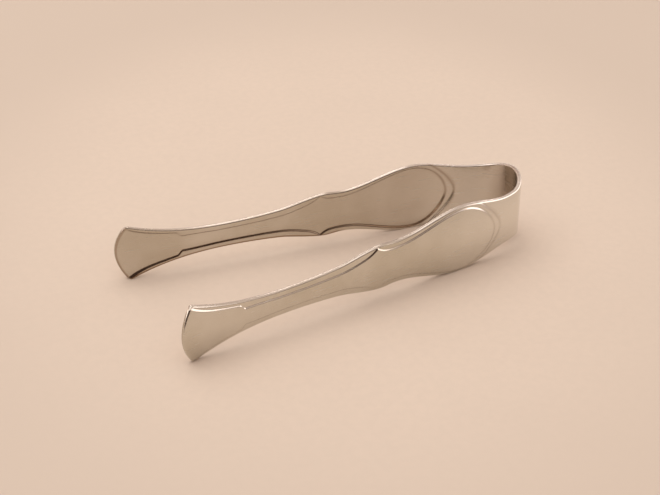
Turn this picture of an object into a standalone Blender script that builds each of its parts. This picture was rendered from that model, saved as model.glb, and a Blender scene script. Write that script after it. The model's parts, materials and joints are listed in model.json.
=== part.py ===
"""Sugar tongs pressed from one strip of stainless steel, lying on their lower edges.

The strip runs from the broad crown of a round bow down two mirrored arms. Along each arm come a
plain leg, an oval belly, a shouldered neck, a slim shaft and a fan-shaped tip. A panel is embossed
outward along the arm, so it stands proud on the outer face and is sunk on the inner face.
The bow is springy: each arm swings about the line where the bow's round bend ends.

Frame: +X points from the tips to the bow, -Y is the front arm's side and +Z is up.
The origin lies on the table, below the middle of the tongs.
"""

import math

import bmesh
import bpy
from mathutils import Vector

# Lengths below are in millimetres and angles in degrees.
MM = 0.001

# Sheet
SHEET_THICKNESS = 1.2
EDGE_ROUND = 0.25

# Bends of the strip's middle surface, seen from above
BOW_RADIUS = 9.35
BOW_TURN = 68.5
LEG_RADIUS = 50.0
ARM_SPREAD = 5.7
FLEX_GAP = 0.3

# Stretches along one arm, each measured from the end of the one before
LEG_STRAIGHT = 2.3
LEG_PLAIN = 4.3
BORDER_DEPTH = 2.4
OVAL_LENGTH = 10.8
BELLY_TO_NECK = 21.3
NECK_TO_SHOULDER = 4.4
SHOULDER_TO_CUSP = 1.7
CUSP_TO_THROAT = 3.6
THROAT_TO_SHAFT = 8.5
SHAFT_LENGTH = 15.0
WAIST_TO_JOG = 12.0
JOG_LENGTH = 1.6
FAN_LENGTH = 13.3
TIP_BULGE = 3.1

# Widths of the strip
CROWN_WIDTH = 18.2
STRIP_WIDTH = 14.1
BELLY_WIDTH = 19.4
NECK_WIDTH = 11.8
SHOULDER_WIDTH = 12.4
THROAT_WIDTH = 11.1
SHAFT_WIDTH = 8.0
WAIST_WIDTH = 6.6
TIP_WIDTH = 15.6

# Slopes of the strip's edge, as half-width gained per length along the arm
THROAT_TAPER = -0.18
SHAFT_TAPER = -0.10
FAN_FLARE = 0.48

# Rim left between the panel and the strip's edge
BELLY_RIM = 0.85
NECK_RIM = 1.45
CUSP_RIM = 0.3
THROAT_RIM = 1.7
SHAFT_RIM = 1.75
WAIST_RIM = 1.45
JOG_RIM = 1.8
FAN_RIM = 0.7
CORNER_RIM = 0.3

# Slopes of the panel's edge
CUSP_RISE = 0.75
CUSP_FALL = -0.8
PANEL_THROAT_TAPER = -0.32
PANEL_SHAFT_TAPER = -0.07
PANEL_FAN_RISE = 0.2
PANEL_FAN_FLARE = 0.6

# Embossing
BORDER_STEP = 0.2
PANEL_STEP = 0.35
STEP_RUN = 0.4
OVAL_POWER = 0.6
BORDER_POWER = 0.6
BORDER_LENGTH = 7.7

# Mesh spacing
ARM_SPACING = 1.8
BOW_STEPS = 26
PANEL_LINES = 4
LEAST_STRIP = 0.12
RIM_SHARE = 0.3
SHARP_ANGLE = 30.0

# Finish
STEEL_COLOUR = (0.60, 0.57, 0.53, 1.0)
STEEL_ROUGHNESS = 0.24

# Distances from the crown along the strip, worked out from the stretches above
BOW_END = BOW_RADIUS * math.radians(BOW_TURN)
LEG_TURN = math.radians(90.0 - ARM_SPREAD - BOW_TURN)
LEG_END = BOW_END + LEG_RADIUS * LEG_TURN
WIDENING_AT = BOW_END + LEG_STRAIGHT
BORDER_AT = WIDENING_AT + LEG_PLAIN
OVAL_AT = BORDER_AT + BORDER_DEPTH
BORDER_SPRING_AT = BORDER_AT + BORDER_LENGTH
BELLY_AT = OVAL_AT + OVAL_LENGTH
NECK_AT = BELLY_AT + BELLY_TO_NECK
SHOULDER_AT = NECK_AT + NECK_TO_SHOULDER
CUSP_AT = SHOULDER_AT + SHOULDER_TO_CUSP
THROAT_AT = CUSP_AT + CUSP_TO_THROAT
SHAFT_AT = THROAT_AT + THROAT_TO_SHAFT
WAIST_AT = SHAFT_AT + SHAFT_LENGTH
JOG_AT = WAIST_AT + WAIST_TO_JOG
FAN_AT = JOG_AT + JOG_LENGTH
CORNER_AT = FAN_AT + FAN_LENGTH


def hermite(stations, at):
    """Smooth curve through (place, value, slope) stations, flat beyond the first and the last."""
    if at <= stations[0][0]:
        return stations[0][1]
    for (start, low, rise), (end, high, fall) in zip(stations, stations[1:]):
        if at <= end:
            span = end - start
            t = (at - start) / span
            blend = t * t * (3.0 - 2.0 * t)
            lead = span * rise * t * (1.0 - t) ** 2
            trail = span * fall * t * t * (t - 1.0)
            return low + (high - low) * blend + lead + trail
    return stations[-1][1]


def half_width(at):
    """Half the strip's width at a distance from the crown."""
    return hermite(
        (
            (0.0, CROWN_WIDTH / 2, 0.0),
            (BOW_END, STRIP_WIDTH / 2, 0.0),
            (WIDENING_AT, STRIP_WIDTH / 2, 0.0),
            (BELLY_AT, BELLY_WIDTH / 2, 0.0),
            (NECK_AT, NECK_WIDTH / 2, 0.0),
            (SHOULDER_AT, SHOULDER_WIDTH / 2, 0.0),
            (THROAT_AT, THROAT_WIDTH / 2, THROAT_TAPER),
            (SHAFT_AT, SHAFT_WIDTH / 2, SHAFT_TAPER),
            (WAIST_AT, WAIST_WIDTH / 2, 0.0),
            (CORNER_AT, TIP_WIDTH / 2, FAN_FLARE),
        ),
        at,
    )


def panel_half(at):
    """Half the embossed panel's width: an oval end, then the strip's edge less the rim."""
    if at <= OVAL_AT:
        return 0.0
    if at < BELLY_AT:
        reach = (BELLY_AT - at) / OVAL_LENGTH
        return (BELLY_WIDTH / 2 - BELLY_RIM) * (1.0 - reach * reach) ** OVAL_POWER
    if at < CUSP_AT:
        return hermite(
            (
                (BELLY_AT, BELLY_WIDTH / 2 - BELLY_RIM, 0.0),
                (NECK_AT, NECK_WIDTH / 2 - NECK_RIM, 0.0),
                (CUSP_AT, half_width(CUSP_AT) - CUSP_RIM, CUSP_RISE),
            ),
            at,
        )
    return hermite(
        (
            (CUSP_AT, half_width(CUSP_AT) - CUSP_RIM, CUSP_FALL),
            (THROAT_AT, THROAT_WIDTH / 2 - THROAT_RIM, PANEL_THROAT_TAPER),
            (SHAFT_AT, SHAFT_WIDTH / 2 - SHAFT_RIM, PANEL_SHAFT_TAPER),
            (WAIST_AT, WAIST_WIDTH / 2 - WAIST_RIM, 0.0),
            (JOG_AT, half_width(JOG_AT) - JOG_RIM, 0.0),
            (FAN_AT, half_width(FAN_AT) - FAN_RIM, PANEL_FAN_RISE),
            (CORNER_AT, TIP_WIDTH / 2 - CORNER_RIM, PANEL_FAN_FLARE),
        ),
        at,
    )


def border_half(at):
    """Half the width of the pointed arch that borders the oval, from its point to the strip's edge."""
    if at <= BORDER_AT:
        return 0.0
    if at >= BORDER_SPRING_AT:
        return half_width(at)
    share = (at - BORDER_AT) / BORDER_LENGTH
    return half_width(BORDER_SPRING_AT) * share**BORDER_POWER


def plan(at):
    """Place and outward normal of the strip's middle line in plan, with the crown at the origin."""
    turn = math.radians(BOW_TURN)
    spread = math.radians(90.0 - ARM_SPREAD)
    bow_angle = min(at, BOW_END) / BOW_RADIUS
    bow_normal = Vector((math.cos(bow_angle), math.sin(bow_angle)))
    place = BOW_RADIUS * (bow_normal - Vector((1.0, 0.0)))
    if at <= BOW_END:
        return place, bow_normal
    leg_angle = turn + (min(at, LEG_END) - BOW_END) / LEG_RADIUS
    leg_normal = Vector((math.cos(leg_angle), math.sin(leg_angle)))
    place += LEG_RADIUS * (leg_normal - bow_normal)
    if at > LEG_END:
        along = Vector((-math.sin(spread), math.cos(spread)))
        place += (at - LEG_END) * along
    return place, leg_normal


def sheet_point(at, across, offset):
    """A point of the sheet: its distance from the crown, its height and its offset outward."""
    place, normal = plan(at)
    spot = place + normal * offset
    return Vector((spot.x, spot.y, across)) * MM


def half_lines(at):
    """Heights and emboss levels of the section's lines, from the middle of the strip to its edge."""
    half = half_width(at)
    panel = panel_half(at)
    border = border_half(at)
    rim = half - panel
    run = min(STEP_RUN / 2, rim * RIM_SHARE)
    edge = half - min(EDGE_ROUND, rim * RIM_SHARE)
    panel_top = max(panel - run, PANEL_LINES * LEAST_STRIP)
    panel_foot = max(panel + run, panel_top + LEAST_STRIP)
    least = min(LEAST_STRIP, (edge - panel_foot) / 3)
    border_foot = min(max(border + run, panel_foot + 2 * least), edge - least)
    border_top = min(max(border - run, panel_foot + least), border_foot - least)
    border_level = BORDER_STEP if at > BORDER_AT else 0.0
    panel_level = border_level + PANEL_STEP if at > OVAL_AT else border_level
    edge_level = BORDER_STEP if at >= BORDER_SPRING_AT else 0.0
    panel_lines = [(panel_top * line / PANEL_LINES, panel_level) for line in range(PANEL_LINES + 1)]
    return panel_lines + [
        (panel_foot, border_level),
        (border_top, border_level),
        (border_foot, edge_level),
        (edge, edge_level),
        (half, edge_level),
    ]


def section(lines, edge, place):
    """Closed ring round the sheet: up its outer face, then down its inner face."""
    mirrored = [(-height, level) for height, level in reversed(lines[1:])]
    whole = mirrored + list(lines)
    last = len(whole) - 1
    outer = []
    inner = []
    for index, (height, level) in enumerate(whole):
        half_sheet = SHEET_THICKNESS / 2
        if index in (0, last):
            half_sheet -= edge
        outer.append(place(height, level + half_sheet))
        inner.append(place(height, level - half_sheet))
    return outer + inner[::-1]


def arm_section(at):
    """Ring round one arm. Towards the tip the rings bulge, until the last follows the rounded end."""
    half = half_width(at)
    reach = min(max((at - FAN_AT) / FAN_LENGTH, 0.0), 1.0)
    bulge = TIP_BULGE * reach * reach * (3.0 - 2.0 * reach)
    lines = half_lines(at)
    edge = lines[-1][0] - lines[-2][0]

    def place(height, offset):
        return sheet_point(at + bulge * (1.0 - (height / half) ** 2), height, offset)

    return section(lines, edge, place)


def bow_section(at):
    """Ring round the plain bow, on either side of the crown."""
    half = half_width(abs(at))
    lines = ((0.0, 0.0), (half - EDGE_ROUND, 0.0), (half, 0.0))

    def place(height, offset):
        point = sheet_point(abs(at), height, offset)
        return point if at >= 0.0 else Vector((point.x, -point.y, point.z))

    return section(lines, EDGE_ROUND, place)


def arm_stations():
    """Distances from the crown of the arm's rings: close together at each step, even between."""
    step = STEP_RUN / 2
    marks = [
        BOW_END + FLEX_GAP / 2,
        WIDENING_AT,
        BORDER_AT - step,
        BORDER_AT + step,
        OVAL_AT - step,
        OVAL_AT + step,
        OVAL_AT + 3 * step,
        BORDER_SPRING_AT - step,
        BORDER_SPRING_AT + step,
        BELLY_AT,
        NECK_AT,
        SHOULDER_AT,
        CUSP_AT,
        THROAT_AT,
        SHAFT_AT,
        WAIST_AT,
        JOG_AT,
        FAN_AT,
        CORNER_AT,
    ]
    marks.sort()
    stations = [marks[0]]
    for start, end in zip(marks, marks[1:]):
        count = max(1, math.ceil((end - start) / ARM_SPACING))
        stations += [start + (end - start) * share / count for share in range(1, count + 1)]
    return stations


def loft(name, rings, flip):
    """Closed mesh through the rings, with a strip of faces closing the sheet at each end."""
    shape = bmesh.new()
    loops = [[shape.verts.new(point) for point in ring] for ring in rings]
    size = len(loops[0])
    for loop, following in zip(loops, loops[1:]):
        for near in range(size):
            far = (near + 1) % size
            shape.faces.new((loop[near], following[near], following[far], loop[far]))
    for loop, order in ((loops[0], 1), (loops[-1], -1)):
        for near in range(size // 2 - 1):
            corners = (loop[near], loop[near + 1], loop[size - 2 - near], loop[size - 1 - near])
            shape.faces.new(corners[::order])
    if flip:
        bmesh.ops.reverse_faces(shape, faces=shape.faces)
    mesh = bpy.data.meshes.new(name)
    shape.to_mesh(mesh)
    shape.free()
    mesh.shade_smooth()
    mesh.set_sharp_from_angle(angle=math.radians(SHARP_ANGLE))
    return mesh


def steel(name):
    """Polished stainless steel."""
    material = bpy.data.materials.new(name)
    material.use_nodes = True
    shader = material.node_tree.nodes["Principled BSDF"]
    shader.inputs["Base Color"].default_value = STEEL_COLOUR
    shader.inputs["Metallic"].default_value = 1.0
    shader.inputs["Roughness"].default_value = STEEL_ROUGHNESS
    return material


def add_piece(name, mesh, origin, root):
    """Object with its own steel, its origin at a point of the strip's frame, under the root."""
    for vertex in mesh.vertices:
        vertex.co -= origin
    mesh.materials.append(steel(name + "_steel"))
    piece = bpy.data.objects.new(name, mesh)
    piece.location = origin
    piece.parent = root
    bpy.context.collection.objects.link(piece)
    return piece


def add_bow(root):
    """The round bend at the crown, from one flex line to the other."""
    reach = BOW_END - FLEX_GAP / 2
    places = [reach * (2.0 * step / BOW_STEPS - 1.0) for step in range(BOW_STEPS + 1)]
    rings = [bow_section(place) for place in places]
    return add_piece("bow", loft("bow", rings, False), Vector(), root)


def flex_point(side):
    """The middle of the flex gap, on the strip's middle line: the arm swings about it."""
    point = sheet_point(BOW_END, 0.0, 0.0)
    point.y *= side
    return point


def add_arm(name, side, root):
    """One arm. Side is +1 for the rear arm at +Y and -1 for its mirror image."""
    rings = [arm_section(at) for at in arm_stations()]
    for ring in rings:
        for point in ring:
            point.y *= side
    return add_piece(name, loft(name, rings, side < 0), flex_point(side), root)


def resting_tilt():
    """Angle that brings the tips' lower corners down to the table that the bellies rest on."""
    corner = plan(CORNER_AT)[0]
    slopes = []
    for at in [0.0] + arm_stations()[:-1]:
        place = plan(at)[0]
        slopes.append((half_width(at) - TIP_WIDTH / 2) / (place.x - corner.x))
    return math.atan(max(slopes))


def settle(root, pieces):
    """Centre the tongs over the origin and stand them on the table."""
    bpy.context.view_layer.update()
    points = [piece.matrix_world @ vertex.co for piece in pieces for vertex in piece.data.vertices]
    low = Vector([min(point[axis] for point in points) for axis in range(3)])
    high = Vector([max(point[axis] for point in points) for axis in range(3)])
    middle = (low + high) / 2
    root.location -= Vector((middle.x, middle.y, low.z))
    bpy.context.view_layer.update()


def main():
    for leftover in list(bpy.data.objects):
        bpy.data.objects.remove(leftover)
    root = bpy.data.objects.new("tongs_frame", None)
    bpy.context.collection.objects.link(root)
    root.rotation_euler = (0.0, -resting_tilt(), 0.0)
    pieces = [add_bow(root), add_arm("front_arm", -1, root), add_arm("rear_arm", 1, root)]
    settle(root, pieces)


main()
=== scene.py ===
"""Looks of the sugar tongs: one smooth steel skin for each half, a pale table and soft studio light.

Each half runs from the middle of the bow to its tip. It is a profile carried along the bent strip:
the strip's outline, its rounded edges, its embossed steps and its dish are all functions of the
distance from the crown and of the height across the strip.
"""

import json
import math
from collections import namedtuple
from types import SimpleNamespace

import bpy
import numpy as np
from mathutils import Matrix, Vector


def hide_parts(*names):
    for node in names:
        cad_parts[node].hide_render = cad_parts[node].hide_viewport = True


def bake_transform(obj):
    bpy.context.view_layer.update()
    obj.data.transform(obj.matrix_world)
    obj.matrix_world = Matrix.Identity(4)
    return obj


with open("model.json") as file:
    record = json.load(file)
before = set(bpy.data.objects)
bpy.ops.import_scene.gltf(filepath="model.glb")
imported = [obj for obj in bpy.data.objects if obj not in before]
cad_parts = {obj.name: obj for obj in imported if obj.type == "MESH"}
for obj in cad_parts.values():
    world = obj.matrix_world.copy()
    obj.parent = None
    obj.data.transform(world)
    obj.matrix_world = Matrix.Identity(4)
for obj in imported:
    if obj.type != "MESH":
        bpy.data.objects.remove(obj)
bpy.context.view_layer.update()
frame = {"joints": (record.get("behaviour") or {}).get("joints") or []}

bl_info = {
    "name": "Sugar tongs",
    "version": (1, 0, 0),
    "blender": (4, 5, 0),
    "location": "View3D > Sidebar > Tongs",
    "description": "Builds the polished steel skin of a pair of sugar tongs and its studio stage",
    "category": "Add Mesh",
}

MM = 0.001
UV_NAME = "strip"
EDGE_NAME = "edge_distance"
# Point attribute with the share of painted shade that darkens the steel
PAINTED_SHADE_NAME = "shade_share"
MOTTLE_NAME = "soft_mottle"

# Each half: the side of the frame it lies on and its arm's body
HALVES = {
    "front_half": (-1, "front_arm"),
    "rear_half": (1, "rear_arm"),
}
BOW = "bow"
REAR_JOINT = "rear_arm_flex"

# Spacing of the rings, and the stretch at the crown over which it grows from fine to wide
WIDE = 0.40 * MM
MIDDLE = 0.2 * MM
CLOSE = 0.09 * MM
FINE = 0.015 * MM
CROWN_EASE = 0.6 * MM

# Lines of a section: how many lie in each band from the middle to the edge, and on the rounded edge
LINE_COUNTS = (8, 14, 4, 6, 3)
EDGE_LINES = 8
LEAST_GAP = 0.02 * MM

# Half-widths of the bands on the two steps, as shares of the oval's run, and how far a lean widens one
PANEL_BAND = 0.55
ARCH_BAND = 0.6
MOST_WIDENING = 2.0

# Steps of the running sums, least gradient of the oval's formula and the angle that stays sharp
LINE_STEPS = 6000
LEAST_GRADIENT = 1.0
SHARP_ANGLE = math.radians(50.0)

# Polishing lines along the strip and hairlines across it, per metre
LINE_SCALE = (90.0, 7000.0, 1.0)
HAIRLINE_SCALE = (120.0, 4000.0, 1.0)
HAIRLINE_TURN = math.radians(24.0)

# Pool of light on the table: its centre, its radii across and along the view, and its fade in radii
POOL_CENTRE = (20.0 * MM, 38.0 * MM, 0.0)
POOL_RADII = (100.0 * MM, 130.0 * MM, 1.0)
POOL_FADE = (0.65, 1.3)

# Room that the steel reflects: the direction of its lit side, and the fades of its walls and ceiling
LIT_SIDE = (0.553, 0.754, 0.352)
WALL_FADE = (-0.36, 0.0)
CEILING_FADE = (0.9, 0.99)

# Lights, in metres: those in the steel show there alone, and the other lights the table alone
Light = namedtuple("Light", "place aim width height in_steel")
TONGS = (0.0, 0.0, 0.0)
LIGHTS = {
    "fill_light": Light((-0.13, 0.17, 1.0), TONGS, 1.2, 1.3, False),
    "top_light": Light((-0.265, 0.175, 1.0), (-0.265, 0.175, 0.0), 1.07, 1.15, True),
    "right_light": Light((0.85, -0.20, 0.36), TONGS, 0.90, 0.50, True),
    "left_light": Light((-0.72, 0.62, 0.26), TONGS, 0.70, 0.35, True),
    "back_light": Light((0.30, 0.95, 0.66), TONGS, 0.32, 0.14, True),
    "low_light": Light((0.80, 0.88, 0.15), TONGS, 0.35, 0.10, True),
}
WHITE = (1.0, 1.0, 1.0, 1.0)


def length(label, millimetres, description):
    """A length property with its default in millimetres."""
    return bpy.props.FloatProperty(
        name=label,
        description=description,
        default=millimetres * MM,
        precision=5,
        subtype="DISTANCE",
        unit="LENGTH",
    )


def angle(label, degrees, description):
    """An angle property with its default in degrees."""
    return bpy.props.FloatProperty(
        name=label,
        description=description,
        default=math.radians(degrees),
        subtype="ANGLE",
        unit="ROTATION",
    )


def factor(label, value, description, highest=1.0):
    """A plain number from nought to a highest value."""
    return bpy.props.FloatProperty(
        name=label, description=description, default=value, min=0.0, max=highest
    )


def slope(label, value, description):
    """A slope: half-width gained for each length along the strip."""
    return bpy.props.FloatProperty(name=label, description=description, default=value)


def colour(label, value, description):
    """A linear colour."""
    return bpy.props.FloatVectorProperty(
        name=label,
        description=description,
        default=value,
        size=3,
        min=0.0,
        max=1.0,
        subtype="COLOR",
    )


class TongsStrip(bpy.types.PropertyGroup):
    """Sizes of the strip: its sheet, its bends, its stretches and its widths."""

    thickness: length("Thickness", 1.2, "Thickness of the steel sheet")
    edge_radius: length("Edge radius", 0.36, "Rounding of the sheet's edges")
    bow_radius: length("Bow radius", 9.35, "Radius of the bow's middle line")
    bow_turn: angle("Bow turn", 68.5, "Turn of the bow from its crown to the flex line")
    leg_radius: length("Leg radius", 50.0, "Radius of the leg's gentle bend")
    arm_spread: angle("Arm spread", 5.7, "Angle between an arm and the middle of the tongs")
    bend_ease: length("Bend ease", 4.0, "Stretch over which one bend turns into the next")
    leg_straight: length("Leg straight", 2.3, "Leg of constant width")
    leg_plain: length("Leg plain", 4.3, "Widening leg before the arch")
    border_depth: length("Border depth", 2.4, "From the arch's point to the oval's end")
    oval_length: length("Oval length", 10.8, "From the oval's end to the belly")
    belly_to_neck: length("Belly to neck", 21.3, "From the belly to the neck")
    neck_to_shoulder: length("Neck to shoulder", 4.4, "From the neck to the shoulder")
    shoulder_to_cusp: length("Shoulder to cusp", 1.7, "From the shoulder to the panel's cusp")
    cusp_to_throat: length("Cusp to throat", 3.6, "From the cusp to the throat")
    throat_to_shaft: length("Throat to shaft", 8.5, "From the throat to the slim shaft")
    shaft_length: length("Shaft length", 15.0, "From the shaft's start to the waist")
    waist_to_jog: length("Waist to jog", 12.0, "From the waist to the panel's jog")
    jog_length: length("Jog length", 1.6, "Length of the panel's jog")
    fan_length: length("Fan length", 13.3, "From the jog to the tip's corners")
    tip_bulge: length("Tip bulge", 3.1, "How far the round end stands past its corners")
    tip_corner: length("Tip corner", 0.9, "Rounding of the tip's corners")
    tip_cup: length("Tip cup", 0.6, "How far the middle of the tip stands outward of its corners")
    arm_dish: length("Arm dish", 1.0, "How far the middle of the belly stands outward of its edges")
    crown_width: length("Crown width", 18.6, "Width at the crown of the bow")
    strip_width: length("Strip width", 14.6, "Width of the leg")
    belly_width: length("Belly width", 19.8, "Width at the belly")
    neck_width: length("Neck width", 12.3, "Width at the neck")
    shoulder_width: length("Shoulder width", 12.9, "Width at the shoulder")
    throat_width: length("Throat width", 11.6, "Width at the throat")
    shaft_width: length("Shaft width", 8.4, "Width at the shaft's start")
    waist_width: length("Waist width", 7.0, "Width at the waist")
    tip_width: length("Tip width", 16.2, "Width between the tip's corners")
    throat_taper: slope("Throat taper", -0.18, "Slope of the edge at the throat")
    shaft_taper: slope("Shaft taper", -0.10, "Slope of the edge at the shaft's start")
    fan_flare: slope("Fan flare", 0.40, "Slope of the edge at the tip's corners")


class TongsEmboss(bpy.types.PropertyGroup):
    """Sizes of the embossed panel and of the arch that borders it."""

    border_step: length("Border step", 0.2, "Height of the arch's step")
    panel_step: length("Panel step", 0.25, "Height of the panel's step")
    outer_run: length("Outer run", 0.48, "Width of a sloping step on the outer face")
    oval_run: length("Oval run", 0.8, "Width of that step round the end of the oval")
    inner_run: length("Inner run", 0.6, "Width of a sloping step on the inner face")
    border_length: length("Border length", 7.7, "From the arch's point to where it meets the edge")
    border_power: factor("Border power", 0.6, "Fullness of the arch: a half is a parabola")
    oval_power: factor("Oval power", 0.6, "Fullness of the oval: a half is an ellipse")
    belly_rim: length("Belly rim", 0.85, "Rim beside the belly")
    neck_rim: length("Neck rim", 1.45, "Rim beside the neck")
    cusp_rim: length("Cusp rim", 0.3, "Rim beside the cusp")
    throat_rim: length("Throat rim", 1.7, "Rim beside the throat")
    shaft_rim: length("Shaft rim", 1.9, "Rim beside the shaft")
    waist_rim: length("Waist rim", 1.6, "Rim beside the waist")
    jog_rim: length("Jog rim", 2.0, "Rim where the jog starts")
    fan_rim: length("Fan rim", 1.0, "Rim where the jog ends")
    corner_rim: length("Corner rim", 0.4, "Rim at the tip's corners")
    cusp_rise: slope("Cusp rise", 0.75, "Slope of the panel's edge before the cusp")
    cusp_fall: slope("Cusp fall", -0.8, "Slope of the panel's edge after the cusp")
    throat_taper: slope("Throat taper", -0.32, "Slope of the panel's edge at the throat")
    shaft_taper: slope("Shaft taper", -0.07, "Slope of the panel's edge at the shaft")
    fan_rise: slope("Fan rise", 0.2, "Slope of the panel's edge after the jog")
    fan_flare: slope("Fan flare", 0.6, "Slope of the panel's edge at the corners")


class TongsPaintedShade(bpy.types.PropertyGroup):
    """Shares of painted shade that darken the steel, from none to full."""

    bow: factor("Bow", 0.65, "Inside the crown, fading towards the flex line")
    arm: factor("Arm", 0.12, "On the inner face of the arm")
    arm_low: factor("Arm, low", 0.1, "Added on the lower half of that face")
    edge_low: factor("Edge, low", 0.85, "Along the inner face's lower edge, from the neck to the tip")
    edge_end: factor("Edge, end", 0.5, "Along the inner face's edge at the round end")
    step_high: factor("Step, high", 0.12, "In the upper steps of the inner face")
    oval_high: factor("Oval, high", 0.45, "Added there towards the end of the oval")
    panel_low: factor("Panel, low", 0.6, "In the panel's lower step on the inner face")
    belly_low: factor("Belly, low", 0.38, "Added there from the neck to the belly")
    arch_low: factor("Arch, low", 0.45, "In the arch's lower step on the inner face")
    step_outer: factor("Step, outer", 0.08, "In the steps of the outer face")
    oval_outer: factor("Oval, outer", 0.2, "Added there towards the end of the oval")


class TongsFinish(bpy.types.PropertyGroup):
    """Colours and polish of the steel."""

    steel: colour("Steel", (0.76, 0.735, 0.68), "Polished stainless steel")
    # Painted shade on the arms: the steel darkens and warms from the crown outwards, unevenly in patches
    arm_shade: colour("Film", (0.56, 0.52, 0.435), "Steel under a thin handled film")
    # Painted shade colour: darkens the steps, the low edges, the inner face and the bow's inside
    painted_shade: colour("Residue", (0.30, 0.21, 0.14), "Polish left in the foot of a step")
    arm_shade_start: length("Film start", 10.0, "Distance from the crown where the film starts")
    arm_shade_full: length("Film full", 50.0, "Distance from the crown where the film is full")
    arm_shade_even: factor("Film, even", 0.4, "Share of film everywhere on the arm")
    arm_shade_patchy: factor("Film, patchy", 0.4, "Share of film that the patches add")
    patch_scale: factor("Patch scale", 70.0, "Patches of film for each metre", 1000.0)
    roughness: factor("Roughness", 0.16, "Roughness of the polished face")
    smudge: factor("Smudge", 0.04, "Roughness that handling adds")
    line_rough: factor("Line roughness", 0.05, "Roughness that the polishing lines add")
    hairline_rough: factor("Hairline roughness", 0.08, "Roughness that the hairlines add")
    worn_rough: factor("Worn roughness", 0.04, "Roughness that wear adds along the edges")
    worn_full: length("Worn, full", 0.1, "Distance from the edge where wear is full")
    worn_end: length("Worn, end", 0.5, "Distance from the edge where wear ends")
    line_depth: factor("Line depth", 0.012, "Strength of the fine polishing lines")
    line_height: length("Line height", 0.02, "Height of the polishing lines at full strength")
    hairline_depth: factor("Hairline depth", 0.6, "Depth of a hairline, in heights of a polishing line")


class TongsStage(bpy.types.PropertyGroup):
    """Table, light and camera."""

    table: colour("Table", (0.755, 0.575, 0.448), "Pale table top")
    table_rough: factor("Table roughness", 0.9, "Roughness of the table top")
    table_gloss: factor("Table gloss", 0.2, "Specular level of the table top")
    table_size: length("Table size", 4000.0, "Side of the table top")
    cloud_scale: factor("Cloud scale", 25.0, "Cloudy patches of the table for each metre", 1000.0)
    cloud_tone: factor("Cloud tone", 0.98, "Share of the table's colour in its cloudy patches")
    far_tone: factor("Far tone", 0.885, "Share of the table's colour away from the tongs")
    grain_scale: factor("Grain scale", 450.0, "Grains of the table for each metre", 1000.0)
    grain_share: factor("Grain share", 0.25, "How far a grain goes to the far tone")
    room: colour("Room", (0.76, 0.60, 0.525), "Lit room behind the table, as the steel reflects it")
    dim_room: colour("Dim room", (0.085, 0.046, 0.034), "Dim room behind the camera")
    ceiling: colour("Ceiling", (0.32, 0.29, 0.27), "Ceiling straight above")
    lamp: colour("Lamp", (1.0, 0.90, 0.87), "Colour of the lights that shine in the steel")
    fill_light: factor("Fill light", 1.18, "Radiance of the light straight above the table", 20.0)
    top_light: factor("Top light", 1.2, "Radiance of the soft light over the tongs", 20.0)
    back_light: factor("Back light", 2.8, "Radiance of the soft light behind the tongs", 20.0)
    low_light: factor("Low light", 2.4, "Radiance of the low light behind at the right", 20.0)
    right_light: factor("Right light", 1.55, "Radiance of the soft light at the right", 20.0)
    left_light: factor("Left light", 1.6, "Radiance of the soft light behind at the left", 20.0)
    even_light: factor("Even light", 0.72, "Radiance of the white dome that lights the table", 5.0)
    azimuth: angle("Azimuth", -28.835, "Turn of the camera round the tongs")
    elevation: angle("Elevation", 30.297, "Height of the camera over the table, as an angle")
    roll: angle("Roll", 1.57, "Lean of the camera")
    distance: length("Distance", 369.72, "From the camera to its target")
    lens: factor("Lens", 76.73, "Focal length on a full-frame sensor, in millimetres", 500.0)
    target: bpy.props.FloatVectorProperty(
        name="Target",
        description="Point that the camera looks at",
        default=(-3.769 * MM, -0.979 * MM, 8.881 * MM),
        size=3,
        subtype="TRANSLATION",
        unit="LENGTH",
    )


def smooth(share):
    """Rises from 0 to 1 as share goes from a half below nought to a half above it, flat at both ends."""
    t = np.clip(share + 0.5, 0.0, 1.0)
    return t * t * (3.0 - 2.0 * t)


def running_sum(values, at):
    """Area under the values up to each place, by trapezia."""
    steps = (values[1:] + values[:-1]) / 2 * np.diff(at)
    return np.concatenate(([0.0], np.cumsum(steps)))


def ease(knots, at):
    """Value and slope of the cubic through each pair of (place, value, slope) knots, constant outside."""
    place, value, lean = np.array(knots).T
    inside = np.clip(at, place[0], place[-1])
    piece = np.clip(np.searchsorted(place, inside, side="right") - 1, 0, len(place) - 2)
    span = place[piece + 1] - place[piece]
    rise = value[piece + 1] - value[piece]
    first = lean[piece] * span
    last = lean[piece + 1] * span
    t = (inside - place[piece]) / span
    u = 1.0 - t
    height = value[piece] + rise * t * t * (3.0 - 2.0 * t) + first * t * u * u - last * t * t * u
    climb = 6.0 * rise * t * u + first * u * (1.0 - 3.0 * t) + last * t * (3.0 * t - 2.0)
    return height, np.where(inside == at, climb / span, 0.0)


def strip_marks(strip, emboss):
    """Distances from the crown along the strip, each stretch added to the end of the one before."""
    marks = SimpleNamespace()
    marks.bow_end = strip.bow_radius * strip.bow_turn
    leg_turn = math.pi / 2 - strip.arm_spread - strip.bow_turn
    marks.leg_end = marks.bow_end + strip.leg_radius * leg_turn
    marks.widening = marks.bow_end + strip.leg_straight
    marks.border = marks.widening + strip.leg_plain
    marks.spring = marks.border + emboss.border_length
    marks.oval = marks.border + strip.border_depth
    marks.belly = marks.oval + strip.oval_length
    marks.neck = marks.belly + strip.belly_to_neck
    marks.shoulder = marks.neck + strip.neck_to_shoulder
    marks.cusp = marks.shoulder + strip.shoulder_to_cusp
    marks.throat = marks.cusp + strip.cusp_to_throat
    marks.shaft = marks.throat + strip.throat_to_shaft
    marks.waist = marks.shaft + strip.shaft_length
    marks.jog = marks.waist + strip.waist_to_jog
    marks.fan = marks.jog + strip.jog_length
    marks.corner = marks.fan + strip.fan_length
    return marks


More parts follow.
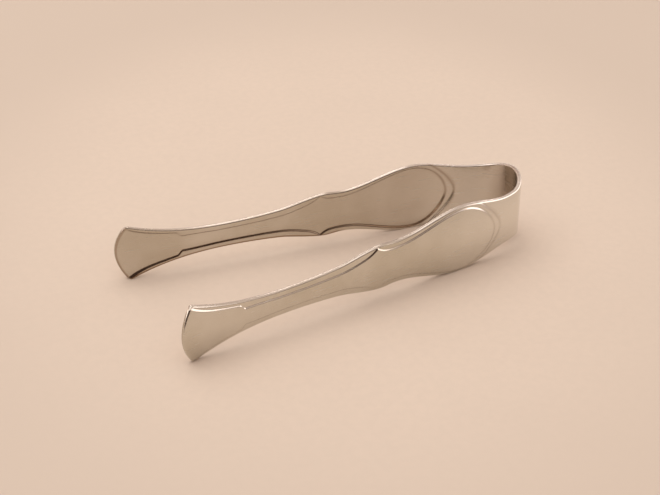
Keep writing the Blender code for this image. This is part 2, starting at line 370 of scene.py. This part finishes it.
def outline(strip, marks, at):
    """Half the strip's width at each distance from the crown, and its slope, by eased stretches."""
    knots = (
        (0.0, strip.crown_width / 2, 0.0),
        (marks.bow_end, strip.strip_width / 2, 0.0),
        (marks.widening, strip.strip_width / 2, 0.0),
        (marks.belly, strip.belly_width / 2, 0.0),
        (marks.neck, strip.neck_width / 2, 0.0),
        (marks.shoulder, strip.shoulder_width / 2, 0.0),
        (marks.throat, strip.throat_width / 2, strip.throat_taper),
        (marks.shaft, strip.shaft_width / 2, strip.shaft_taper),
        (marks.waist, strip.waist_width / 2, 0.0),
        (marks.corner, strip.tip_width / 2, strip.fan_flare),
    )
    return ease(knots, at)


def half_width(strip, marks, place):
    """Half the strip's width at one distance from the crown."""
    return outline(strip, marks, np.array([place]))[0][0]


def panel_edge(strip, emboss, marks, at):
    """Half the panel's width and its slope: an oval end, then eased stretches within the outline."""
    cusp_half = half_width(strip, marks, marks.cusp) - emboss.cusp_rim
    jog_half = half_width(strip, marks, marks.jog) - emboss.jog_rim
    fan_half = half_width(strip, marks, marks.fan) - emboss.fan_rim
    belly_half = strip.belly_width / 2 - emboss.belly_rim
    before = (
        (marks.belly, belly_half, 0.0),
        (marks.neck, strip.neck_width / 2 - emboss.neck_rim, 0.0),
        (marks.cusp, cusp_half, emboss.cusp_rise),
    )
    after = (
        (marks.cusp, cusp_half, emboss.cusp_fall),
        (marks.throat, strip.throat_width / 2 - emboss.throat_rim, emboss.throat_taper),
        (marks.shaft, strip.shaft_width / 2 - emboss.shaft_rim, emboss.shaft_taper),
        (marks.waist, strip.waist_width / 2 - emboss.waist_rim, 0.0),
        (marks.jog, jog_half, 0.0),
        (marks.fan, fan_half, emboss.fan_rise),
        (marks.corner, strip.tip_width / 2 - emboss.corner_rim, emboss.fan_flare),
    )
    reach = np.clip((marks.belly - at) / strip.oval_length, 0.0, 1.0)
    oval = belly_half * (1.0 - reach**2) ** emboss.oval_power
    near, near_slope = ease(before, at)
    far, far_slope = ease(after, at)
    half = np.where(at < marks.belly, oval, np.where(at < marks.cusp, near, far))
    lean = np.where(at < marks.belly, 0.0, np.where(at < marks.cusp, near_slope, far_slope))
    return half, lean


def panel_distance(strip, emboss, marks, at, across):
    """Distance inside the panel's edge: its height below the edge curve over that curve's steepness.

    Before the belly the edge is the oval where 1 - reach^2 - (across / half)^fullness is nought,
    and the distance is that expression over the length of its gradient.
    """
    edge, lean = panel_edge(strip, emboss, marks, at)
    straight = (edge - across) / np.hypot(1.0, lean)
    half = strip.belly_width / 2 - emboss.belly_rim
    fullness = 1.0 / emboss.oval_power
    reach = (marks.belly - at) / strip.oval_length
    inside = 1.0 - reach**2 - (across / half) ** fullness
    gradient = np.hypot(
        2.0 * reach / strip.oval_length, fullness / half * (across / half) ** (fullness - 1.0)
    )
    oval = inside / np.maximum(gradient, LEAST_GRADIENT)
    return np.where(at < marks.belly, oval, straight)


def border_distance(strip, emboss, marks, at, across):
    """Distance inside the pointed arch: share - (across / half)^fullness over its gradient's length."""
    half = half_width(strip, marks, marks.spring)
    fullness = 1.0 / emboss.border_power
    share = (at - marks.border) / emboss.border_length
    inside = share - (across / half) ** fullness
    gradient = np.hypot(
        1.0 / emboss.border_length, fullness / half * (across / half) ** (fullness - 1.0)
    )
    return inside / gradient


def ring_places(strip, emboss, marks):
    """Distances of the rings: spacing is eased between the close rings of a feature and the rest."""
    run = emboss.inner_run
    knots = [
        (0.0, FINE),
        (CROWN_EASE, WIDE),
        (marks.border - 2 * run, WIDE),
        (marks.border - run, CLOSE),
        (marks.border + 2 * run, CLOSE),
        (marks.oval - run, CLOSE),
        (marks.oval + 2 * run, CLOSE),
        (marks.oval + 5 * run, MIDDLE),
        (marks.spring - 2 * run, MIDDLE),
        (marks.spring + run, MIDDLE),
        (marks.belly, WIDE),
        (marks.cusp - 4 * run, MIDDLE),
        (marks.cusp - run, CLOSE),
        (marks.cusp + run, CLOSE),
        (marks.cusp + 4 * run, MIDDLE),
        (marks.throat + 4 * run, WIDE),
        (marks.jog - 2 * run, MIDDLE),
        (marks.jog, CLOSE),
        (marks.fan, CLOSE),
        (marks.fan + 2 * run, MIDDLE),
        (marks.corner - 2 * strip.edge_radius, MIDDLE),
        (marks.corner - strip.edge_radius, CLOSE),
        (marks.corner, FINE),
    ]
    place, spacing = np.array(knots).T
    at = np.linspace(0.0, marks.corner, LINE_STEPS)
    count = running_sum(1.0 / np.interp(at, place, spacing), at)
    return np.interp(np.linspace(0.0, count[-1], math.ceil(count[-1]) + 1), count, at)


def line_heights(strip, emboss, marks, at):
    """Heights of the section's lines from the middle to the edge, one row for each ring.

    Lines gather on the panel's step, on the arch's step and on the rounded edge.
    """
    half, lean = outline(strip, marks, at)
    panel, panel_lean = panel_edge(strip, emboss, marks, at)
    on_panel = emboss.oval_run * PANEL_BAND * np.minimum(np.hypot(1.0, panel_lean), MOST_WIDENING)
    on_arch = emboss.oval_run * ARCH_BAND
    share = np.clip((at - marks.border) / emboss.border_length, 0.0, None)
    border = half_width(strip, marks, marks.spring) * share**emboss.border_power
    edge = half - strip.edge_radius * np.hypot(1.0, lean)
    bounds = [
        np.zeros_like(at),
        panel - on_panel,
        panel + on_panel,
        border - on_arch,
        border + on_arch,
        edge,
    ]
    order = np.arange(len(bounds)) * LEAST_GAP
    low = np.maximum.accumulate(np.stack(bounds, 1) - order, axis=1) + order
    high = np.minimum(low, (edge - order[-1])[:, None] + order)
    controls = np.maximum(high, order / 2)
    parts = []
    for index, count in enumerate(LINE_COUNTS):
        step = np.arange(count) / count
        start = controls[:, index, None]
        parts.append(start + (controls[:, index + 1, None] - start) * step)
    curve = np.sin(np.linspace(0.0, math.pi / 2, EDGE_LINES + 1))
    last = controls[:, -1, None]
    parts.append(last + (half[:, None] - last) * curve)
    return np.concatenate(parts, axis=1)


def centre_line(strip, marks):
    """Middle line in plan: heading is the running sum of curvature, place the running sum of heading."""
    at = np.linspace(0.0, marks.corner + strip.tip_bulge, LINE_STEPS)
    to_leg = smooth((at - marks.bow_end) / strip.bend_ease)
    to_arm = smooth((at - marks.leg_end) / strip.bend_ease)
    curvature = (1.0 - to_leg) / strip.bow_radius + (to_leg - to_arm) / strip.leg_radius
    heading = running_sum(curvature, at)
    return SimpleNamespace(
        at=at,
        heading=heading,
        x=-running_sum(np.sin(heading), at),
        y=running_sum(np.cos(heading), at),
    )


def strip_frame(strip, marks):
    """Crown of the bow and the strip's three axes, from the rear arm's flex joint."""
    joint = next(row for row in frame["joints"] if row["name"] == REAR_JOINT)
    up = np.array(joint["axis"]) / np.linalg.norm(joint["axis"])
    side = np.array((0.0, 1.0, 0.0))
    axes = np.array((np.cross(side, up), side, up))
    turn = marks.bow_end / strip.bow_radius
    flex = strip.bow_radius * np.array((math.cos(turn) - 1.0, math.sin(turn), 0.0))
    return np.array(joint["pos_m"]) - flex @ axes, axes


def face_grid(strip, emboss, marks):
    """Grid of one face, a row for each ring, with its distances to the outline and to the two contours."""
    at = ring_places(strip, emboss, marks)
    upper = line_heights(strip, emboss, marks, at)
    height = np.concatenate((-upper[:, :0:-1], upper), axis=1)
    across = np.abs(height)
    place = np.broadcast_to(at[:, None], height.shape)
    half, lean = (column[:, None] for column in outline(strip, marks, at))
    return SimpleNamespace(
        place=place,
        height=height,
        across=across,
        half=half,
        lean=lean,
        panel=panel_distance(strip, emboss, marks, place, across),
        border=border_distance(strip, emboss, marks, place, across),
        to_oval_end=smooth((marks.belly - place) / strip.oval_length - 0.5),
    )


def round_corners(strip, marks, grid):
    """Heights drawn in to rounded tip corners, how far places are drawn back, and the edge's distance.

    Inside a corner's square the distances from its inner sides, as shares of the radius, become those
    in a quarter disc: each share is multiplied by the root of 1 - (the other share)^2 / 2.
    """
    to_side = (grid.half - grid.across) / np.hypot(1.0, grid.lean)
    end_lean = 2.0 * strip.tip_bulge * grid.across / grid.half**2
    to_end = (marks.corner - grid.place) / np.hypot(1.0, end_lean)
    square = np.clip(1.0 - np.stack((to_side, to_end)) / strip.tip_corner, 0.0, 1.0)
    disc = square * np.sqrt(1.0 - square[::-1] ** 2 / 2)
    moved = strip.tip_corner * (square - disc)
    in_corner = strip.tip_corner * (1.0 - np.hypot(*disc))
    return SimpleNamespace(
        height=np.sign(grid.height) * (grid.across - moved[0]),
        drawn_back=moved[1],
        to_edge=np.where(square.min(axis=0) > 0.0, in_corner, np.minimum(to_side, to_end)),
        at_end=to_end < to_side,
    )


def painted_shade_shares(strip, painted_shade, marks, grid, edges, runs):
    """Painted shade on the outer and inner faces: exp(-(2 distance / run)^2) in each step, and broad
    tones.

    The inner face's lower side has more of it: in its steps, along its edge and over the arm. Along
    the edge it is full within the edge radius and ends at five thirds of that.
    """

    def in_step(distance, run):
        return np.exp(-((2.0 * distance / run) ** 2))

    outer_run, inner_run = runs
    low_side = smooth(-2.0 * grid.height / grid.half - 0.5)
    to_belly = smooth((marks.belly - grid.place) / strip.belly_to_neck + 0.5)
    past_oval = smooth((grid.place - marks.oval) / strip.oval_length - 0.5)
    past_neck = smooth((grid.place - marks.neck) / strip.cusp_to_throat)

    # Painted shade in the steps of the inner face, more on its lower half and towards the belly
    high = (painted_shade.step_high + painted_shade.oval_high * grid.to_oval_end) * (1.0 - low_side)
    low_panel = (painted_shade.panel_low + painted_shade.belly_low * to_belly) * low_side
    in_panel = (high + low_panel) * in_step(grid.panel, inner_run)
    in_arch = (high + painted_shade.arch_low * low_side) * in_step(grid.border, inner_run)
    # Painted shade along the inner face's lower edge and round the end
    edge = np.where(edges.at_end, painted_shade.edge_end, painted_shade.edge_low * (grid.height < 0.0))
    edge = edge * smooth(2.0 - 1.5 * edges.to_edge / strip.edge_radius) * past_neck
    # Painted shade inside the bow and over the arm's inner face, more on its lower half
    bow_shade = painted_shade.bow * smooth(0.5 - grid.place / marks.bow_end)
    inner_arm_shade = (painted_shade.arm + painted_shade.arm_low * low_side) * past_oval
    inner = np.maximum(np.maximum(in_panel, in_arch), edge) + bow_shade + inner_arm_shade

    # Painted shade in the steps of the outer face
    in_steps = np.maximum(in_step(grid.panel, outer_run), in_step(grid.border, outer_run))
    outer = (painted_shade.step_outer + painted_shade.oval_outer * grid.to_oval_end) * in_steps
    return outer, inner


def half_surface(strip, emboss, painted_shade, marks):
    """Rings of one half, in the strip's frame, with distances that the finish reads.

    A ring goes up the outer face and down the inner face. A point lies at the middle line's place
    plus the outward normal times its level, plus or minus half the sheet. The level adds up the steps
    of the panel and the arch, each a smooth rise over its run, the dish, a parabola across the strip
    that starts in the bow, and the cup, a parabola across the fan that grows towards the tip. That
    second parabola also carries the round end past the corners. The half sheet falls along a quarter
    circle within the edge radius of the outline.
    """
    grid = face_grid(strip, emboss, marks)
    edges = round_corners(strip, marks, grid)
    outer_run = emboss.outer_run + (emboss.oval_run - emboss.outer_run) * grid.to_oval_end
    inner_run = emboss.inner_run + (emboss.oval_run - emboss.inner_run) * grid.to_oval_end / 2

    reach = np.clip((grid.place - marks.fan) / strip.fan_length, 0.0, 1.0)
    swell = smooth(reach - 0.5) * (1.0 - (grid.across / grid.half) ** 2)
    past_bow = smooth(2.0 * grid.place / marks.bow_end - 1.5)
    dish = strip.arm_dish * past_bow * (grid.half**2 - grid.across**2) / (strip.belly_width / 2) ** 2

    short = np.clip(strip.edge_radius - edges.to_edge, 0.0, strip.edge_radius)
    half_sheet = strip.thickness / 2 - strip.edge_radius
    half_sheet = half_sheet + np.sqrt(np.maximum(strip.edge_radius**2 - short**2, 0.0))

    along = grid.place + strip.tip_bulge * swell - edges.drawn_back
    line = centre_line(strip, marks)
    heading = np.interp(along, line.at, line.heading)
    x = np.interp(along, line.at, line.x)
    y = np.interp(along, line.at, line.y)

    def level(run):
        panel = emboss.panel_step * smooth(grid.panel / run)
        return panel + emboss.border_step * smooth(grid.border / run) + strip.tip_cup * swell + dish

    def face(offset):
        return np.stack((x + np.cos(heading) * offset, y + np.sin(heading) * offset, edges.height), -1)

    def ring(outer, inner):
        return np.concatenate((outer, inner[:, ::-1]), axis=1)

    outer = face(level(outer_run) + half_sheet)
    inner = face(level(inner_run) - half_sheet)
    # Shares of painted shade on both faces
    shares = painted_shade_shares(strip, painted_shade, marks, grid, edges, (outer_run, inner_run))
    return SimpleNamespace(
        points=ring(outer, inner),
        along=ring(along, along),
        height=ring(edges.height, edges.height),
        edge=ring(edges.to_edge, edges.to_edge),
        shade_share=ring(*shares),
    )


def ring_faces(rings, size, flip):
    """Quads of a tube of rings, closed at both ends by quads between its outer and inner lines."""
    ring, spot = np.meshgrid(np.arange(rings - 1), np.arange(size), indexing="ij")
    this, following = ring * size, (ring + 1) * size
    beside = (spot + 1) % size
    tube = np.stack((this + spot, following + spot, following + beside, this + beside), -1).reshape(-1, 4)
    near = np.arange(size // 2 - 1)
    cap = np.stack((near, near + 1, size - 2 - near, size - 1 - near), -1)
    faces = np.concatenate((tube, cap, cap[:, ::-1] + (rings - 1) * size))
    return faces[:, ::-1] if flip else faces


def add_float(mesh, name, values):
    """A number on every point of the mesh."""
    attribute = mesh.attributes.new(name, "FLOAT", "POINT")
    attribute.data.foreach_set("value", values.ravel().astype(np.float32))


def add_half(name, side, surface, crown, axes, material):
    """One half as a mesh in the frame, with its strip coordinates as a UV map."""
    points = surface.points * np.array((1.0, side, 1.0))
    rings, size = points.shape[:2]
    faces = ring_faces(rings, size, side < 0)
    mesh = bpy.data.meshes.new(name)
    mesh.from_pydata((crown + points.reshape(-1, 3) @ axes), [], faces)
    layer = mesh.uv_layers.new(name=UV_NAME)
    flat = np.stack((surface.along.ravel(), surface.height.ravel()), -1)
    layer.data.foreach_set("uv", flat[faces.ravel()].astype(np.float32).ravel())
    add_float(mesh, EDGE_NAME, surface.edge)
    add_float(mesh, PAINTED_SHADE_NAME, surface.shade_share)
    mesh.shade_smooth()
    mesh.set_sharp_from_angle(angle=SHARP_ANGLE)
    mesh.materials.append(material)
    if mesh.validate(verbose=False):
        raise RuntimeError(f"{name} has faces that can't be used")
    piece = bpy.data.objects.new(name, mesh)
    bpy.context.scene.collection.objects.link(piece)
    return piece


def add_node(tree, kind, inputs=None, **settings):
    """A shader node with its settings, and its inputs set to values or linked from sockets."""
    node = tree.nodes.new(kind)
    for key, value in settings.items():
        setattr(node, key, value)
    for key, value in (inputs or {}).items():
        if isinstance(value, bpy.types.NodeSocket):
            tree.links.new(value, node.inputs[key])
        else:
            node.inputs[key].default_value = value
    return node


def multiply(tree, first, second):
    """Product of two numbers."""
    node = add_node(tree, "ShaderNodeMath", {0: first, 1: second}, operation="MULTIPLY")
    return node.outputs["Value"]


def add(tree, first, second):
    """Sum of two numbers."""
    node = add_node(tree, "ShaderNodeMath", {0: first, 1: second}, operation="ADD")
    return node.outputs["Value"]


def fade(tree, value, start, end):
    """Nought at the start and before it, one at the end and past it, smooth between."""
    node = add_node(
        tree,
        "ShaderNodeMapRange",
        {"Value": value, "From Min": start, "From Max": end},
        interpolation_type="SMOOTHSTEP",
    )
    return node.outputs["Result"]


def mix_colour(tree, share, first, second):
    """First colour where the share is nought, second where it is one."""
    node = add_node(
        tree, "ShaderNodeMix", {"Factor": share}, data_type="RGBA", clamp_factor=True
    )
    for socket, value in ((node.inputs[6], first), (node.inputs[7], second)):
        if isinstance(value, bpy.types.NodeSocket):
            tree.links.new(value, socket)
        else:
            socket.default_value = (*value, 1.0)
    return node.outputs[2]


def new_group(name, inputs, outputs):
    """An empty shader group with number or vector sockets."""
    tree = bpy.data.node_groups.new(name, "ShaderNodeTree")
    for label, kind in inputs:
        tree.interface.new_socket(name=label, in_out="INPUT", socket_type=kind)
    for label, kind in outputs:
        tree.interface.new_socket(name=label, in_out="OUTPUT", socket_type=kind)
    return tree, tree.nodes.new("NodeGroupInput"), tree.nodes.new("NodeGroupOutput")


def soft_mottle():
    """Group: cloudy patches of a given size, from nought to one."""
    tree, given, made = new_group(
        MOTTLE_NAME,
        (("Vector", "NodeSocketVector"), ("Scale", "NodeSocketFloat")),
        (("Mottle", "NodeSocketFloat"),),
    )
    noise = add_node(
        tree,
        "ShaderNodeTexNoise",
        {
            "Vector": given.outputs["Vector"],
            "Scale": given.outputs["Scale"],
            "Detail": 4.0,
            "Roughness": 0.55,
        },
    )
    tree.links.new(fade(tree, noise.outputs["Fac"], 0.3, 0.7), made.inputs["Mottle"])
    return tree


def mottle(tree, space, scale):
    """Cloudy patches at a place, from the shared group, which is made once."""
    shared = bpy.data.node_groups.get(MOTTLE_NAME) or soft_mottle()
    node = add_node(tree, "ShaderNodeGroup", {"Vector": space, "Scale": scale}, node_tree=shared)
    return node.outputs["Mottle"]


def polishing_lines():
    """Group: fine lines along the strip and a few stray hairlines across it, from nought to one."""
    tree, given, made = new_group(
        "polishing_lines",
        (("Strip", "NodeSocketVector"),),
        (("Lines", "NodeSocketFloat"), ("Hairlines", "NodeSocketFloat")),
    )
    drawn = add_node(
        tree, "ShaderNodeMapping", {"Vector": given.outputs["Strip"], "Scale": LINE_SCALE}
    )
    lines = add_node(
        tree,
        "ShaderNodeTexNoise",
        {"Vector": drawn.outputs["Vector"], "Scale": 1.0, "Detail": 3.0},
    )
    crossed = add_node(
        tree,
        "ShaderNodeMapping",
        {
            "Vector": given.outputs["Strip"],
            "Rotation": (0.0, 0.0, HAIRLINE_TURN),
            "Scale": HAIRLINE_SCALE,
        },
    )
    strokes = add_node(
        tree,
        "ShaderNodeTexNoise",
        {"Vector": crossed.outputs["Vector"], "Scale": 1.0, "Detail": 1.0},
    )
    hairlines = add_node(
        tree,
        "ShaderNodeMapRange",
        {"Value": strokes.outputs["Fac"], "From Min": 0.64, "From Max": 0.72},
    )
    tree.links.new(lines.outputs["Fac"], made.inputs["Lines"])
    tree.links.new(hairlines.outputs["Result"], made.inputs["Hairlines"])
    return tree


def polished_steel(finish):
    """Polished stainless steel.

    Painted shade darkens and warms the arm from the crown outwards, unevenly in patches, and darkens
    the steps, the low edges, the inner face and the bow's inside. Fine lines run along the strip, stray
    hairlines cross it and the edges are a little worn.
    """
    material = bpy.data.materials.new("polished_steel")
    material.use_nodes = True
    tree = material.node_tree
    shader = tree.nodes["Principled BSDF"]
    shader.inputs["Metallic"].default_value = 1.0
    strip = add_node(tree, "ShaderNodeUVMap", uv_map=UV_NAME).outputs["UV"]
    space = add_node(tree, "ShaderNodeTexCoord").outputs["Object"]
    shade_share = add_node(tree, "ShaderNodeAttribute", attribute_name=PAINTED_SHADE_NAME).outputs["Fac"]
    edge = add_node(tree, "ShaderNodeAttribute", attribute_name=EDGE_NAME).outputs["Fac"]
    polish = add_node(tree, "ShaderNodeGroup", {"Strip": strip}, node_tree=polishing_lines())
    lines, hairlines = polish.outputs["Lines"], polish.outputs["Hairlines"]
    handled = mottle(tree, space, finish.patch_scale)

    # Painted shade: the arm's colour darkens and warms from the crown outwards, unevenly in patches
    place = add_node(tree, "ShaderNodeSeparateXYZ", {"Vector": strip}).outputs["X"]
    arm_shade_ramp = fade(tree, place, finish.arm_shade_start, finish.arm_shade_full)
    arm_shade_share = add(tree, multiply(tree, handled, finish.arm_shade_patchy), finish.arm_shade_even)
    tone = mix_colour(tree, multiply(tree, arm_shade_ramp, arm_shade_share), finish.steel, finish.arm_shade)
    # Painted shade: the steps, the low edges, the inner face and the bow's inside go dark
    tone = mix_colour(tree, shade_share, tone, finish.painted_shade)
    tree.links.new(tone, shader.inputs["Base Color"])

    worn = fade(tree, edge, finish.worn_end, finish.worn_full)
    rough = add(tree, multiply(tree, handled, finish.smudge), finish.roughness)
    rough = add(tree, rough, multiply(tree, lines, finish.line_rough))
    rough = add(tree, rough, multiply(tree, hairlines, finish.hairline_rough))
    rough = add(tree, rough, multiply(tree, worn, finish.worn_rough))
    tree.links.new(rough, shader.inputs["Roughness"])

    relief = add(tree, lines, multiply(tree, hairlines, -finish.hairline_depth))
    bump = add_node(
        tree,
        "ShaderNodeBump",
        {"Height": relief, "Strength": finish.line_depth, "Distance": finish.line_height},
    )
    tree.links.new(bump.outputs["Normal"], shader.inputs["Normal"])
    return material


def table_top(stage):
    """Pale matt table with cloudy patches and a faint grain, a little darker outside a pool of light."""
    material = bpy.data.materials.new("pale_table")
    material.use_nodes = True
    tree = material.node_tree
    shader = tree.nodes["Principled BSDF"]
    shader.inputs["Roughness"].default_value = stage.table_rough
    shader.inputs["Specular IOR Level"].default_value = stage.table_gloss
    space = add_node(tree, "ShaderNodeTexCoord").outputs["Object"]
    cloud = mottle(tree, space, stage.cloud_scale)
    grain = mottle(tree, space, stage.grain_scale)
    pool = add_node(
        tree,
        "ShaderNodeMapping",
        {
            "Vector": space,
            "Location": POOL_CENTRE,
            "Rotation": (0.0, 0.0, stage.azimuth),
            "Scale": POOL_RADII,
        },
        vector_type="TEXTURE",
    )
    away = add_node(tree, "ShaderNodeVectorMath", {0: pool.outputs["Vector"]}, operation="LENGTH")
    cloudy = [stage.cloud_tone * part for part in stage.table]
    far = [stage.far_tone * part for part in stage.table]
    tone = mix_colour(tree, cloud, stage.table, cloudy)
    tone = mix_colour(tree, fade(tree, away.outputs["Value"], *POOL_FADE), tone, far)
    tone = mix_colour(tree, multiply(tree, grain, stage.grain_share), tone, far)
    tree.links.new(tone, shader.inputs["Base Color"])
    return material


def add_table(stage, material):
    """Flat square table at the height of nought."""
    reach = stage.table_size / 2
    mesh = bpy.data.meshes.new("table")
    corners = [(-reach, -reach, 0.0), (reach, -reach, 0.0), (reach, reach, 0.0), (-reach, reach, 0.0)]
    mesh.from_pydata(corners, [], [(0, 1, 2, 3)])
    mesh.materials.append(material)
    table = bpy.data.objects.new("table", mesh)
    bpy.context.scene.collection.objects.link(table)
    return table


def soft_light(name, light, radiance, tint):
    """Rectangular area light that faces its aim: its power is radiance times pi times its area.

    A light in the steel has the lamps' tint and shines there alone. Another one is white and lights
    the table alone.
    """
    data = bpy.data.lights.new(name, "AREA")
    data.shape = "RECTANGLE"
    data.size = light.width
    data.size_y = light.height
    data.energy = radiance * math.pi * light.width * light.height
    if light.in_steel:
        data.color = tint
    lamp = bpy.data.objects.new(name, data)
    lamp.location = light.place
    lamp.visible_diffuse = not light.in_steel
    lamp.visible_glossy = light.in_steel
    lamp.rotation_euler = (Vector(light.aim) - lamp.location).to_track_quat("-Z", "Y").to_euler()
    bpy.context.scene.collection.objects.link(lamp)


def studio_room(stage):
    """World light: an even white dome, which the steel sees as a room instead.

    The room is lit behind the table, dim behind the camera and greyer straight above.
    """
    world = bpy.data.worlds.new("studio_room")
    world.use_nodes = True
    tree = world.node_tree
    direction = add_node(tree, "ShaderNodeTexCoord").outputs["Generated"]
    toward = add_node(
        tree, "ShaderNodeVectorMath", {0: direction, 1: LIT_SIDE}, operation="DOT_PRODUCT"
    )
    lit = fade(tree, toward.outputs["Value"], *WALL_FADE)
    walls = mix_colour(tree, lit, stage.dim_room, stage.room)
    height = add_node(tree, "ShaderNodeSeparateXYZ", {"Vector": direction}).outputs["Z"]
    tint = mix_colour(tree, fade(tree, height, *CEILING_FADE), walls, stage.ceiling)
    dome = tree.nodes["Background"]
    dome.inputs["Color"].default_value = WHITE
    dome.inputs["Strength"].default_value = stage.even_light
    room = add_node(tree, "ShaderNodeBackground", {"Color": tint})
    glossy = add_node(tree, "ShaderNodeLightPath").outputs["Is Glossy Ray"]
    seen = add_node(
        tree,
        "ShaderNodeMixShader",
        {"Fac": glossy, 1: dome.outputs["Background"], 2: room.outputs["Background"]},
    )
    tree.links.new(seen.outputs["Shader"], tree.nodes["World Output"].inputs["Surface"])
    bpy.context.scene.world = world


def add_camera(stage):
    """Camera on a sphere round its target, by azimuth, elevation and roll."""
    back = Vector(
        (
            math.sin(stage.azimuth) * math.cos(stage.elevation),
            -math.cos(stage.azimuth) * math.cos(stage.elevation),
            math.sin(stage.elevation),
        )
    )
    data = bpy.data.cameras.new("camera")
    data.sensor_width = 36.0
    data.lens = stage.lens
    data.clip_start = 0.01
    data.clip_end = 10.0
    camera = bpy.data.objects.new("camera", data)
    turn = (-back).to_track_quat("-Z", "Y").to_matrix() @ Matrix.Rotation(stage.roll, 3, "Z")
    camera.matrix_world = Matrix.LocRotScale(Vector(stage.target) + back * stage.distance, turn, None)
    bpy.context.scene.collection.objects.link(camera)
    bpy.context.scene.camera = camera


class TONGS_OT_add_halves(bpy.types.Operator):
    """Add the two steel halves and hide the arm and bow parts that they stand in for"""

    bl_idname = "tongs.add_halves"
    bl_label = "Add halves"

    def execute(self, context):
        scene = context.scene
        strip, emboss = scene.tongs_strip, scene.tongs_emboss
        marks = strip_marks(strip, emboss)
        crown, axes = strip_frame(strip, marks)
        surface = half_surface(strip, emboss, scene.tongs_residue, marks)
        material = polished_steel(scene.tongs_finish)
        for name, (side, arm) in HALVES.items():
            half = add_half(name, side, surface, crown, axes, material)
            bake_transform(half)
            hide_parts(arm, BOW)
        return {"FINISHED"}


class TONGS_OT_set_stage(bpy.types.Operator):
    """Set the table, the soft lights and the camera"""

    bl_idname = "tongs.set_stage"
    bl_label = "Set stage"

    def execute(self, context):
        stage = context.scene.tongs_stage
        table = add_table(stage, table_top(stage))
        for name, light in LIGHTS.items():
            soft_light(name, light, getattr(stage, name), stage.lamp)
        studio_room(stage)
        add_camera(stage)
        context.scene.view_settings.view_transform = "Standard"
        return {"FINISHED"}


class TONGS_PT_sidebar(bpy.types.Panel):
    """Sizes, painted shade, finish and stage of the tongs"""

    bl_idname = "TONGS_PT_sidebar"
    bl_label = "Sugar tongs"
    bl_space_type = "VIEW_3D"
    bl_region_type = "UI"
    bl_category = "Tongs"

    def draw(self, context):
        for name, group in SETTINGS.items():
            box = self.layout.box()
            for setting in group.__annotations__:
                box.prop(getattr(context.scene, name), setting)
        self.layout.operator(TONGS_OT_add_halves.bl_idname)
        self.layout.operator(TONGS_OT_set_stage.bl_idname)


SETTINGS = {
    "tongs_strip": TongsStrip,
    "tongs_emboss": TongsEmboss,
    "tongs_residue": TongsPaintedShade,
    "tongs_finish": TongsFinish,
    "tongs_stage": TongsStage,
}
CLASSES = (*SETTINGS.values(), TONGS_OT_add_halves, TONGS_OT_set_stage, TONGS_PT_sidebar)


def register():
    """Register the classes and hang the settings on the scene."""
    for item in CLASSES:
        bpy.utils.register_class(item)
    for name, group in SETTINGS.items():
        setattr(bpy.types.Scene, name, bpy.props.PointerProperty(type=group))


def unregister():
    """Take the settings and the classes away again."""
    for name in SETTINGS:
        delattr(bpy.types.Scene, name)
    for item in reversed(CLASSES):
        bpy.utils.unregister_class(item)


def main():
    """Build the tongs and their stage."""
    register()
    bpy.ops.tongs.add_halves()
    bpy.ops.tongs.set_stage()


if __name__ == "__main__":
    main()
